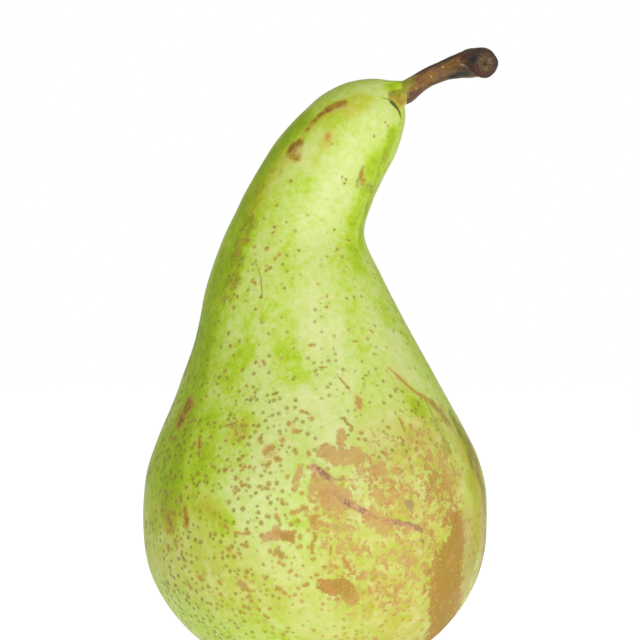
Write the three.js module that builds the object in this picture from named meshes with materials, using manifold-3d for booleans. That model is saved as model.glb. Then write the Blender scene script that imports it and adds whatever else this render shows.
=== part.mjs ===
// A long-necked green pear with its stalk, standing on its blossom end.
//
// Millimetres, +Z up. The front is -Y, and the neck leans to +X. The origin is on the surface that the pear stands on,
// under the middle of its bounding box.
//
//   fruit   the flesh, one solid: blossom basin, foot ring, belly, leaning neck, crown and the socket of the stalk
//   stalk   the woody stem, rooted in the crown, thickening to the knob where it broke from the spur
//   calyx   the dried flower in the basin: a cup with five sepals and a tuft of stamens
import * as THREE from "three";
import { mergeVertices } from "three/addons/utils/BufferGeometryUtils.js";
import Module from "manifold-3d";

const wasm = await Module();
wasm.setup();

// Driving dimensions of the fruit. The belly is an ellipse turned round an upright axis, cut level by the foot.
const AXIS_X = -0.9;
const BELLY = { radius: 32.4, height: 27.1 }; // its widest level
const FOOT = { inner: 7.4, outer: 9.8 }; // the flat ring that the pear stands on
const DEPTH_SHARE = 0.97; // a section's size from front to back, as a share of its width

// The two outlines above the belly, seen from the front, in pairs that face each other: left x, z, right x, z.
const NECK_SECTIONS = [
  [-33.0, 35.4, 31.3, 35.4],
  [-31.5, 41.4, 29.5, 41.4],
  [-27.6, 51.2, 24.1, 51.6],
  [-23.6, 62.6, 17.6, 63.3],
  [-21.3, 73.1, 11.8, 74.6],
  [-18.2, 82.1, 8.6, 82.1],
  [-13.3, 91.9, 10.0, 88.4],
  [-7.7, 100.7, 12.2, 93.3],
  [-2.7, 106.1, 14.7, 98.4],
  [1.5, 109.4, 15.9, 102.3],
  [5.8, 111.3, 16.2, 104.2],
  [10.2, 111.9, 16.2, 105.4],
  [13.2, 111.7, 16.2, 106.1],
  [16.0, 111.8, 16.3, 106.4], // the fleshy lip round the stalk
];

// The blossom basin in the foot, from its floor out to the foot ring: radius, height.
const BASIN = [
  [3.4, 3.6],
  [4.9, 3.0],
  [6.1, 1.6],
  [6.8, 0.5],
];

// Driving dimensions of the stalk: the line of its middle, and its radius at shares of its length.
const STALK_LINE = [
  [13.0, 0, 107.0],
  [16.4, 0, 109.4],
  [20.3, -0.2, 112.0],
  [23.5, -0.7, 113.4],
  [26.4, -1.8, 114.4],
  [28.7, -3.4, 114.9],
  [30.3, -5.3, 115.0],
  [31.2, -7.2, 114.9],
];
const STALK_RADII = [
  [0, 1.5],
  [0.1, 1.55],
  [0.2, 1.9],
  [0.3, 1.85],
  [0.5, 1.9],
  [0.68, 2.1],
  [0.82, 2.5],
  [0.92, 2.8],
  [0.98, 2.5],
  [1, 2.0],
];
const STALK_END_DISH = { radius: 1.1, depth: 0.35 };
const SOCKET_REACH = 0.3; // how far along the stalk its socket is cut, as a share

// Driving dimensions of the calyx.
const SEPALS = 5;
const CUP = { inner: 1.3, outer: 2.8, top: 3.3, low: 2.1, floor: 2.8 };
const SEPAL = { start: 1.9, length: 3.9, width: 3.0, tip: 0.5, thickness: 0.7, top: 2.8, droop: 1.4 };
const STAMENS = 7;
const STAMEN = { radius: 0.3, length: 1.7, circle: 0.7, lean: 0.35 };

const CLEARANCE = 0.3; // between two pieces
const FRUIT_SIDES = 48;
const BELLY_STEPS = 7;
const STEPS_BETWEEN_SECTIONS = 3;
const STALK_SIDES = 20;
const STALK_STEPS = 32;

const skin = new THREE.MeshStandardMaterial({ color: 0xb4cc52, roughness: 0.45, metalness: 0 });
const bark = new THREE.MeshStandardMaterial({ color: 0x6e4b2c, roughness: 0.75, metalness: 0 });
const driedFlower = new THREE.MeshStandardMaterial({ color: 0x3b2a1c, roughness: 0.9, metalness: 0 });

// A closed mesh with shared vertices, as a solid that can be cut and joined.
function solidOf(geometry) {
  const bare = geometry.clone();
  bare.deleteAttribute("normal");
  bare.deleteAttribute("uv");
  const merged = mergeVertices(bare, 1e-4);
  const mesh = new wasm.Mesh({
    numProp: 3,
    vertProperties: new Float32Array(merged.attributes.position.array),
    triVerts: new Uint32Array(merged.index.array),
  });
  return new wasm.Manifold(mesh);
}

function geometryOf(solid) {
  const mesh = solid.getMesh();
  const geometry = new THREE.BufferGeometry();
  geometry.setAttribute("position", new THREE.BufferAttribute(new Float32Array(mesh.vertProperties), 3));
  geometry.setIndex(new THREE.BufferAttribute(new Uint32Array(mesh.triVerts), 1));
  return geometry;
}

function node(name, solid, material) {
  const geometry = geometryOf(solid).toNonIndexed();
  geometry.computeVertexNormals();
  const mesh = new THREE.Mesh(geometry, material);
  mesh.name = name;
  return mesh;
}

// A level section round the fruit's upright axis, as a pair of outline points.
function levelSection(radius, height) {
  return [AXIS_X - radius, height, AXIS_X + radius, height];
}

// The belly's flank from the foot ring up to the widest level: an ellipse in equal turns of its angle.
function bellySections() {
  const lowest = Math.acos(FOOT.outer / BELLY.radius);
  const sections = [];
  for (let i = 0; i <= BELLY_STEPS; i += 1) {
    const angle = lowest * (1 - i / BELLY_STEPS);
    const height = BELLY.height * (1 - Math.sin(angle) / Math.sin(lowest));
    sections.push(levelSection(BELLY.radius * Math.cos(angle), height));
  }
  return sections;
}

// One outline, left or right, as a smooth curve through its side of the sections.
function outline(sections, side) {
  return new THREE.CatmullRomCurve3(
    sections.map((s) => new THREE.Vector3(s[2 * side], 0, s[2 * side + 1])),
  );
}

// All the sections from the middle of the basin's floor to the lip round the stalk.
function fruitSections() {
  const flank = [...bellySections(), ...NECK_SECTIONS];
  const left = outline(flank, 0);
  const right = outline(flank, 1);
  const steps = (flank.length - 1) * STEPS_BETWEEN_SECTIONS;
  const sections = [levelSection(0, BASIN[0][1])];
  for (const [radius, height] of BASIN) {
    sections.push(levelSection(radius, height));
  }
  sections.push(levelSection(FOOT.inner, 0));
  for (let i = 0; i <= steps; i += 1) {
    const a = left.getPoint(i / steps);
    const b = right.getPoint(i / steps);
    sections.push([a.x, a.z, b.x, b.z]);
  }
  const lip = sections[sections.length - 1];
  const middle = [(lip[0] + lip[2]) / 2, (lip[1] + lip[3]) / 2];
  sections.push([...middle, ...middle]);
  return sections;
}

// The fruit: a lathe with one row for each section, whose rows are then moved onto the sections.
function fruitSolid() {
  const sections = fruitSections();
  const last = sections.length - 1;
  const rows = sections.map((_, i) => new THREE.Vector2(i === 0 || i === last ? 0 : 1, i));
  const geometry = new THREE.LatheGeometry(rows, FRUIT_SIDES);
  const position = geometry.attributes.position;
  for (let i = 0; i < position.count; i += 1) {
    const [leftX, leftZ, rightX, rightZ] = sections[Math.round(position.getY(i))];
    const across = position.getX(i) / 2;
    const forward = position.getZ(i) / 2;
    const width = Math.hypot(rightX - leftX, rightZ - leftZ);
    position.setXYZ(
      i,
      (leftX + rightX) / 2 + across * (rightX - leftX),
      -forward * width * DEPTH_SHARE,
      (leftZ + rightZ) / 2 + across * (rightZ - leftZ),
    );
  }
  return solidOf(geometry);
}

// The stalk's line, and its side as a smooth curve of points: share of the length, radius.
const stalkCurve = new THREE.CatmullRomCurve3(STALK_LINE.map((p) => new THREE.Vector3(...p)));
const stalkSide = new THREE.SplineCurve(STALK_RADII.map((p) => new THREE.Vector2(...p))).getPoints(STALK_STEPS);

// Turns a profile of radius and share of the stalk's length into a solid along the stalk's line.
function alongStalk(profile) {
  const points = profile.map(([radius], i) => new THREE.Vector2(radius, i));
  const geometry = new THREE.LatheGeometry(points, STALK_SIDES);
  const position = geometry.attributes.position;
  const up = new THREE.Vector3(0, 0, 1);
  for (let i = 0; i < position.count; i += 1) {
    const share = profile[Math.round(position.getY(i))][1];
    const reach = THREE.MathUtils.clamp(share, 0, 1);
    const along = stalkCurve.getTangentAt(reach);
    const side = new THREE.Vector3().crossVectors(along, up).normalize();
    const over = new THREE.Vector3().crossVectors(side, along);
    const point = stalkCurve
      .getPointAt(reach)
      .addScaledVector(along, (share - reach) * stalkCurve.getLength())
      .addScaledVector(side, position.getX(i))
      .addScaledVector(over, position.getZ(i));
    position.setXYZ(i, point.x, point.y, point.z);
  }
  return solidOf(geometry);
}

// The stalk, from its root to the dished scar at its knob.
function stalkSolid() {
  const dish = 1 - STALK_END_DISH.depth / stalkCurve.getLength();
  return alongStalk([
    [0, 0],
    ...stalkSide.map((p) => [p.y, p.x]),
    [STALK_END_DISH.radius, dish],
    [0, dish],
  ]);
}

// What is cut from the crown for the stalk's root: the root with its clearance.
function socketSolid() {
  const start = -CLEARANCE / stalkCurve.getLength();
  const side = stalkSide.filter((p) => p.x < SOCKET_REACH);
  const rootRadius = side[0].y + CLEARANCE;
  return alongStalk([
    [0, start],
    [rootRadius, start],
    ...side.map((p) => [p.y + CLEARANCE, p.x]),
    [0, side[side.length - 1].x],
  ]);
}

// The calyx cup, a ring with a floor, mouth down.
function cupSolid() {
  const profile = [
    [0, CUP.floor],
    [CUP.inner, CUP.floor],
    [CUP.inner, CUP.low],
    [CUP.outer, CUP.low],
    [CUP.outer, CUP.top],
    [0, CUP.top],
  ];
  const geometry = new THREE.LatheGeometry(
    profile.map((p) => new THREE.Vector2(...p)),
    20,
  );
  return solidOf(geometry.rotateX(Math.PI / 2));
}

// One sepal: a pointed blade that leaves the cup level and droops to its tip.
function sepalSolid(angle) {
  const geometry = new THREE.BoxGeometry(1, 1, 1, 8, 2, 1);
  const position = geometry.attributes.position;
  for (let i = 0; i < position.count; i += 1) {
    const share = position.getX(i) + 0.5;
    const across = position.getY(i);
    const width = THREE.MathUtils.lerp(SEPAL.width, SEPAL.tip, share ** 1.6);
    const droop = SEPAL.droop * share * share;
    position.setXYZ(
      i,
      SEPAL.start + share * SEPAL.length,
      across * width,
      SEPAL.top - SEPAL.thickness / 2 - droop + position.getZ(i) * SEPAL.thickness,
    );
  }
  return solidOf(geometry.rotateZ(angle));
}

// One dried stamen, a prong that stands out of the cup's floor towards the ground.
function stamenSolid(angle) {
  const geometry = new THREE.CylinderGeometry(STAMEN.radius, STAMEN.radius, STAMEN.length, 6);
  geometry.rotateX(Math.PI / 2);
  geometry.rotateY(-STAMEN.lean);
  geometry.translate(STAMEN.circle, 0, CUP.top - CLEARANCE - STAMEN.length / 2);
  return solidOf(geometry.rotateZ(angle));
}

function calyxSolid() {
  let solid = cupSolid();
  for (let i = 0; i < SEPALS; i += 1) {
    solid = solid.add(sepalSolid((i * 2 * Math.PI) / SEPALS));
  }
  for (let i = 0; i < STAMENS; i += 1) {
    solid = solid.add(stamenSolid((i * 2 * Math.PI) / STAMENS));
  }
  return solid.translate([AXIS_X, 0, 0]);
}

const pear = new THREE.Group();
pear.name = "pear";
pear.add(
  node("fruit", fruitSolid().subtract(socketSolid()), skin),
  node("stalk", stalkSolid(), bark),
  node("calyx", calyxSolid(), driedFlower),
);

export default pear;
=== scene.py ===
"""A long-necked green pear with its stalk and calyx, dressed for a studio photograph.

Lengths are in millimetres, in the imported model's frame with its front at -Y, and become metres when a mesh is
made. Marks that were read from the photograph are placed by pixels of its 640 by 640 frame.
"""

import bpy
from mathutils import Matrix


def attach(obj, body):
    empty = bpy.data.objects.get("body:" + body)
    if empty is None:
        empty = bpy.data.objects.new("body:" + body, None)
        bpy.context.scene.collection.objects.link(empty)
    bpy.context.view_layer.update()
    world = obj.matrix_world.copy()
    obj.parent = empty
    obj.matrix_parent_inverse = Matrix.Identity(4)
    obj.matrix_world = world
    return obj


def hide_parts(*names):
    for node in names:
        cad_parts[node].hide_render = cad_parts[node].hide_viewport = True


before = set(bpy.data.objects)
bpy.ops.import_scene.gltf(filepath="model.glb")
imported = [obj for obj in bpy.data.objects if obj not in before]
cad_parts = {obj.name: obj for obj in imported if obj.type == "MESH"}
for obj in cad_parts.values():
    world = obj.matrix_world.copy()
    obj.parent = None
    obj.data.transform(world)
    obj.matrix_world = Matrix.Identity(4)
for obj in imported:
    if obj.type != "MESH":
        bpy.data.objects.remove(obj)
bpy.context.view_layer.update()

import logging
import math
from dataclasses import dataclass, field
from enum import Enum
from typing import Union

import bmesh
import bpy
import numpy as np
from mathutils import Vector

LOG = logging.getLogger("pear")
MM = 0.001
BODY = "root"
Pixel = tuple[float, float]
Pair = tuple[float, float]
Point = tuple[float, float, float]
Colour = tuple[float, float, float]

# In half widths of a spot: farther off than any that shows.
BEYOND = 99.0


@dataclass(frozen=True)
class Photograph:
    """How a pixel of the photograph becomes a place on the pear: a level view from the front."""

    side: float = 640.0
    scale: float = 65.0 / 345.0
    middle: float = 320.0
    ground: float = 672.0
    lens: float = 200.0
    sensor: float = 36.0

    @property
    def distance(self) -> float:
        """How far the camera stands before the pear's axis, where its frame is as wide as the photograph."""
        return self.side * self.scale * self.lens / self.sensor

    @property
    def aim(self) -> float:
        """The height of the camera and of the picture's middle."""
        return (self.ground - self.middle) * self.scale

    def place(self, pixel: Pixel, depth: float = 0.0) -> Pair:
        """The x and z of a pixel, in millimetres, on what lies at that y."""
        reach = self.scale * (self.distance + depth) / self.distance
        return (pixel[0] - self.middle) * reach, self.aim + (self.middle - pixel[1]) * reach

    def narrow(self, points: np.ndarray) -> np.ndarray:
        """Moves points, measured in the axis's plane, to where they look the same from their own depth.

        Args:
            points: one row each, whose y is that depth.

        Returns:
            The moved points.
        """
        reach = (self.distance + points[..., 1:2]) / self.distance
        centre = np.array([0.0, 0.0, self.aim])
        moved = centre + (points - centre) * reach
        return np.concatenate([moved[..., :1], points[..., 1:2], moved[..., 2:]], axis=-1)


PHOTO = Photograph()


class Kind(Enum):
    """What a mark is. The value names the mesh field that holds it.

    On the skin, russet is broken cork, a scar is a healed cut, a bruise is a brown patch, a smudge is partly an
    olive patch and partly painted shade along the rims and towards the bottom, gold is a yellow stain, pale is
    lighter skin and partly a painted sheen, green is greener skin, a crease is a fold with painted shade in it,
    and soot and blush are the darker and the pinker part of another mark. On the bark, gold is amber, blush is
    wine red, pale marks chips and scratches and a few small painted highlights, a smudge is a darker knob with
    painted shade along its rim, and a ridge is a raised line.
    """

    RUSSET = "russet"
    SCAR = "scar"
    BRUISE = "bruise"
    SMUDGE_AND_SHADE = "smudge"
    GOLD = "gold"
    PALE_AND_SHEEN = "pale"
    GREEN = "green"
    CREASE_AND_SHADE = "crease"
    SOOT = "soot"
    BLUSH = "blush"
    RIDGE = "ridge"


@dataclass(frozen=True)
class Mark:
    """A mark with soft or broken edges.

    The trail is its line in pixels. It has its full strength as far as half_width on both sides and then
    fades out over the fringe, both in millimetres.
    """

    trail: tuple[Pixel, ...]
    half_width: float
    fringe: float
    strength: float


@dataclass(frozen=True)
class Spot:
    """A small mark with crisp edges.

    The trail is its line in pixels, half_width is half its width in millimetres, and its tone goes from
    olive, 0, over tan, 1, to grey, 2.
    """

    trail: tuple[Pixel, ...]
    half_width: float
    tone: float


def dot(x: float, y: float, half_width: float, tone: float) -> Spot:
    """A round spot at one pixel."""
    return Spot(((x, y),), half_width, tone)


SKIN_MARKS = {
    Kind.BRUISE: (
        Mark(((343, 103), (335, 105.5), (328, 109)), 0.45, 1.0, 0.95),
        Mark(((328, 109), (318, 117), (311, 124), (307, 130)), 0.15, 1.0, 0.75),
        Mark(((307, 130), (301, 137), (296, 146)), 0.05, 0.9, 0.4),
        Mark(((299, 143), (293, 148), (290, 153), (296, 157)), 0.45, 1.3, 0.86),
        Mark(((328, 134), (327.5, 139)), 0.3, 0.8, 0.45),
        Mark(((189, 403), (184, 413), (180, 421)), 0.6, 2.0, 0.95),
        Mark(((243, 238), (239, 252)), 0.3, 1.6, 0.4),
        Mark(((275, 170), (270, 180)), 0.2, 1.4, 0.28),
        Mark(((234, 283), (233, 290)), 0.3, 1.0, 0.35),
        Mark(((225, 291), (222, 300)), 0.2, 1.0, 0.35),
        Mark(((361, 175), (364, 181)), 0.3, 0.9, 0.65),
        Mark(((384, 157), (383, 161)), 0.15, 0.8, 0.5),
        Mark(((185, 510), (187, 526)), 0.25, 1.2, 0.8),
        Mark(((168.5, 519), (170, 530)), 0.4, 1.6, 0.75),
        Mark(((199, 439), (199.5, 448)), 0.15, 0.7, 0.7),
        Mark(((394, 100), (400, 104), (404, 100)), 0.5, 1.2, 0.5),
    ),
    # Olive smudges, and painted shade along the rims, beside the stalk's root and towards the bottom.
    Kind.SMUDGE_AND_SHADE: (
        Mark(((271, 176), (256, 196), (246, 214)), 0.6, 2.6, 0.45),
        Mark(((248, 224), (240, 246), (236, 262)), 0.7, 2.8, 0.75),
        Mark(((234, 278), (226, 298)), 0.8, 2.4, 0.7),
        Mark(((300, 138), (286, 158), (272, 180)), 0.4, 1.8, 0.4),
        Mark(((364, 172), (360, 184), (371, 188)), 0.6, 1.6, 0.6),
        Mark(((372, 190), (367, 206), (364, 228)), 0.4, 1.4, 0.5),
        Mark(((204, 300), (196, 340), (186, 372)), 0.3, 2.0, 0.7),
        Mark(((204, 506), (212, 514)), 0.4, 2.2, 0.35),
        # Painted shade over the bottom of the fruit.
        Mark(((160, 556), (240, 596), (330, 606), (410, 592), (470, 556)), 6.0, 8.0, 0.22),
        Mark(((404, 79), (406, 86), (406, 93)), 0.3, 1.2, 0.9),
        Mark(((150, 466), (146, 510), (150, 566)), 0.2, 2.2, 0.5),
        Mark(((394, 98), (400, 97), (405, 95)), 0.9, 1.5, 1.0),
        Mark(((401, 116), (399, 140), (386, 168), (372, 200)), 0.1, 1.8, 0.55),
        # Painted shade along the right rim of the belly.
        Mark(((462, 430), (480, 480), (485, 530), (479, 575)), 0.8, 3.0, 0.75),
        Mark(((164, 494), (170, 528)), 0.6, 3.0, 0.5),
        Mark(((228, 424), (250, 436)), 0.2, 1.4, 0.5),
        Mark(((452, 414), (466, 446), (474, 470)), 0.5, 2.0, 0.8),
        Mark(((436, 424), (446, 450)), 0.5, 2.5, 0.6),
        Mark(((431, 402), (441, 412), (448, 424)), 0.4, 1.6, 0.8),
    ),
    Kind.GOLD: (
        Mark(((328, 134), (324, 144)), 0.6, 1.8, 0.75),
        Mark(((388, 368), (398, 377), (409, 388)), 0.3, 1.6, 0.8),
        Mark(((362, 100), (348, 108)), 0.8, 2.6, 0.8),
        Mark(((286, 158), (268, 182), (254, 206)), 0.8, 2.4, 0.5),
        Mark(((340, 108), (318, 124)), 0.4, 1.8, 0.5),
        Mark(((318, 148), (312, 158)), 0.6, 2.4, 0.4),
        Mark(((246, 424), (238, 434)), 0.8, 1.8, 0.7),
        Mark(((206, 503), (218, 518)), 0.5, 2.6, 0.8),
        Mark(((186, 500), (196, 526)), 1.0, 3.0, 0.5),
        Mark(((396, 380), (408, 400), (424, 440)), 1.0, 4.0, 0.35),
        Mark(((424, 440), (446, 470), (452, 520)), 3.0, 4.5, 0.9),
        Mark(((400, 450), (390, 500), (410, 550), (400, 600)), 5.0, 7.0, 0.85),
        Mark(((350, 500), (340, 570), (336, 640)), 3.0, 6.0, 0.6),
        Mark(((420, 600), (400, 650)), 4.0, 8.0, 0.8),
        Mark(((444, 416), (462, 448), (474, 484), (478, 540)), 1.4, 3.4, 0.95),
        Mark(((160, 540), (210, 570), (270, 586), (330, 592)), 4.0, 8.0, 0.5),
    ),
    # Lighter skin, and partly a painted sheen down the neck and over the belly.
    Kind.PALE_AND_SHEEN: (
        Mark(((380, 112), (371, 130), (352, 158), (332, 192)), 1.4, 3.6, 0.52),
        Mark(((332, 192), (316, 228), (317, 262), (320, 300)), 1.6, 4.4, 0.54),
        Mark(((320, 300), (325, 335), (340, 372), (334, 410), (326, 445)), 2.2, 4.4, 0.85),
        Mark(((384, 90), (366, 90)), 0.8, 2.2, 0.6),
        Mark(((320, 126), (310, 146), (304, 170)), 0.4, 2.0, 0.5),
        Mark(((296, 200), (272, 250), (262, 300)), 0.6, 3.2, 0.3),
        Mark(((262, 330), (262, 352), (258, 400)), 0.8, 2.6, 0.4),
        Mark(((276, 390), (268, 440), (262, 480)), 2.4, 3.6, 0.6),
        Mark(((300, 400), (296, 440), (300, 500)), 1.8, 3.4, 0.6),
        Mark(((244, 490), (262, 520), (280, 560)), 2.4, 3.8, 0.7),
        Mark(((300, 550), (316, 620)), 2.4, 4.0, 0.5),
        Mark(((360, 474), (356, 490)), 1.0, 1.4, 1.0),
        Mark(((366, 290), (378, 350), (386, 430)), 1.2, 4.4, 0.5),
        Mark(((372, 430), (366, 510)), 1.4, 4.0, 0.6),
        Mark(((396, 340), (414, 380)), 0.8, 3.4, 0.8),
    ),
    Kind.GREEN: (
        Mark(((300, 122), (268, 162), (250, 200)), 1.3, 3.4, 1.0),
        Mark(((250, 200), (234, 240), (220, 284)), 1.2, 5.2, 0.95),
        Mark(((220, 284), (206, 330), (196, 370), (184, 420)), 1.2, 6.2, 0.92),
        Mark(((184, 420), (172, 460), (170, 506)), 2.0, 5.0, 1.0),
        Mark(((206, 420), (196, 470)), 1.0, 4.0, 0.6),
        Mark(((376, 158), (366, 190), (354, 225)), 0.4, 2.6, 0.55),
        Mark(((354, 225), (352, 245), (366, 285), (384, 316)), 0.4, 3.0, 0.4),
        Mark(((287, 350), (292, 378)), 0.3, 3.0, 0.4),
        Mark(((246, 350), (230, 376)), 0.6, 3.4, 0.5),
        Mark(((415, 404), (420, 411)), 0.5, 1.8, 0.7),
        Mark(((196, 500), (208, 508), (222, 522)), 0.8, 2.8, 0.6),
        Mark(((166, 436), (156, 474), (153, 520)), 1.2, 3.0, 0.7),
        Mark(((464, 440), (474, 480), (478, 524), (472, 560)), 1.2, 3.2, 0.85),
        Mark(((364, 99), (346, 109), (328, 122)), 0.8, 2.6, 0.5),
        Mark(((247, 422), (238, 434)), 0.8, 2.0, 0.55),
        Mark(((392, 134), (384, 160), (373, 190), (363, 222), (361, 246)), 0.5, 1.8, 0.85),
        Mark(((344, 104), (328, 112), (306, 136)), 0.2, 1.8, 0.6),
        Mark(((402, 84), (390, 88)), 0.5, 1.6, 0.7),
    ),
    Kind.RUSSET: (
        Mark(((342, 433), (341, 448)), 0.3, 1.1, 0.85),
        Mark(((326, 452), (338, 458), (358, 456)), 0.8, 1.7, 1.0),
        Mark(((381, 467), (380, 470)), 0.7, 1.0, 1.0),
        Mark(((302, 467), (297, 477), (295, 488)), 0.25, 0.8, 0.9),
        Mark(((320, 490), (332, 496), (340, 498)), 1.2, 2.2, 1.0),
        Mark(((328, 508), (334, 513)), 0.5, 1.6, 0.9),
        Mark(((316, 478), (324, 486)), 0.3, 1.4, 0.7),
        Mark(((372, 518), (384, 526)), 0.7, 2.0, 0.9),
        Mark(((388, 484), (392, 500)), 0.4, 2.0, 0.7),
        Mark(((430, 472), (431, 496)), 0.4, 2.2, 0.72),
        Mark(((440, 476), (448, 500), (456, 526)), 1.2, 3.6, 0.68),
        Mark(((458, 528), (456, 550)), 1.0, 3.4, 1.0),
        Mark(((448, 564), (446, 600), (439, 640)), 2.4, 4.2, 1.0),
        Mark(((424, 566), (428, 573)), 0.3, 1.4, 0.8),
        Mark(((432, 584), (424, 590)), 0.3, 1.6, 0.7),
        Mark(((266, 537), (279, 534), (291, 537)), 0.35, 1.0, 1.0),
        Mark(((276, 529), (279, 534)), 0.3, 1.0, 0.9),
        Mark(((342, 530), (350, 530)), 0.4, 1.4, 0.85),
        Mark(((349, 538), (352, 546)), 0.3, 1.5, 0.85),
        Mark(((326, 587), (344, 586), (352, 600)), 0.8, 1.5, 1.0),
        Mark(((402, 560), (416, 560)), 0.5, 1.8, 0.7),
        Mark(((354, 560), (382, 566), (376, 590)), 0.8, 3.0, 0.4),
        Mark(((380, 480), (410, 492), (420, 540), (400, 590)), 3.6, 4.6, 0.42),
        Mark(((330, 520), (350, 556), (356, 600)), 2.6, 3.8, 0.4),
        Mark(((420, 440), (438, 460), (452, 478)), 1.4, 3.6, 0.47),
        Mark(((380, 440), (402, 466)), 1.6, 3.6, 0.27),
        Mark(((430, 650), (400, 668), (340, 668)), 6.0, 9.0, 0.62),
    ),
    Kind.SOOT: (
        Mark(((457, 530), (448, 570), (448, 600), (440, 640)), 3.0, 5.0, 0.9),
        Mark(((326, 587), (344, 586)), 1.0, 3.5, 0.7),
        Mark(((430, 480), (446, 510)), 1.0, 5.0, 0.5),
        Mark(((284, 537), (291, 537)), 0.5, 1.0, 0.7),
    ),
    Kind.SCAR: (
        Mark(((314, 467.5), (321, 472), (328, 477.5)), 0.3, 0.7, 1.0),
        Mark(((328, 477.5), (338, 480), (347, 481)), 0.05, 0.5, 0.75),
        Mark(((334, 494.5), (345, 502)), 0.1, 0.6, 0.55),
        Mark(((345, 502), (354, 506.5), (364, 511.5)), 0.26, 0.6, 1.0),
        Mark(((364, 511.5), (370, 515), (379, 519)), 0.05, 0.5, 0.7),
        Mark(((387, 521), (398, 523), (408, 524), (415, 527), (422, 531)), 0.16, 0.6, 1.0),
        Mark(((420, 540), (424, 542)), 0.15, 0.6, 0.8),
    ),
    Kind.BLUSH: (
        Mark(((314, 467.5), (322, 473), (329, 478)), 0.3, 0.8, 1.0),
        Mark(((330, 485), (338, 496), (350, 504), (360, 510)), 0.5, 1.6, 0.8),
        Mark(((390, 522), (399, 523.5)), 0.3, 0.6, 1.0),
        Mark(((299, 149), (299, 153)), 0.3, 1.0, 0.6),
        Mark(((334, 111), (343, 107)), 0.1, 0.8, 0.7),
        Mark(((268, 449), (269, 453)), 0.6, 0.8, 0.8),
        Mark(((266, 538), (276, 537)), 0.6, 0.8, 0.6),
        Mark(((468, 520), (470, 550), (463, 596)), 0.8, 3.0, 1.0),
        Mark(((462, 424), (478, 470), (483, 530), (478, 590)), 1.0, 3.2, 1.0),
    ),
    # A fold beside the stalk, with painted shade in it.
    Kind.CREASE_AND_SHADE: (
        Mark(((384, 97), (389, 98.5), (394, 103)), 0.02, 0.4, 0.55),
        Mark(((393, 102), (398.5, 108), (401.5, 114)), 0.16, 0.6, 1.0),
        Mark(((378, 80.5), (386, 83.5), (395, 83)), 0.02, 0.3, 0.4),
    ),
}

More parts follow.
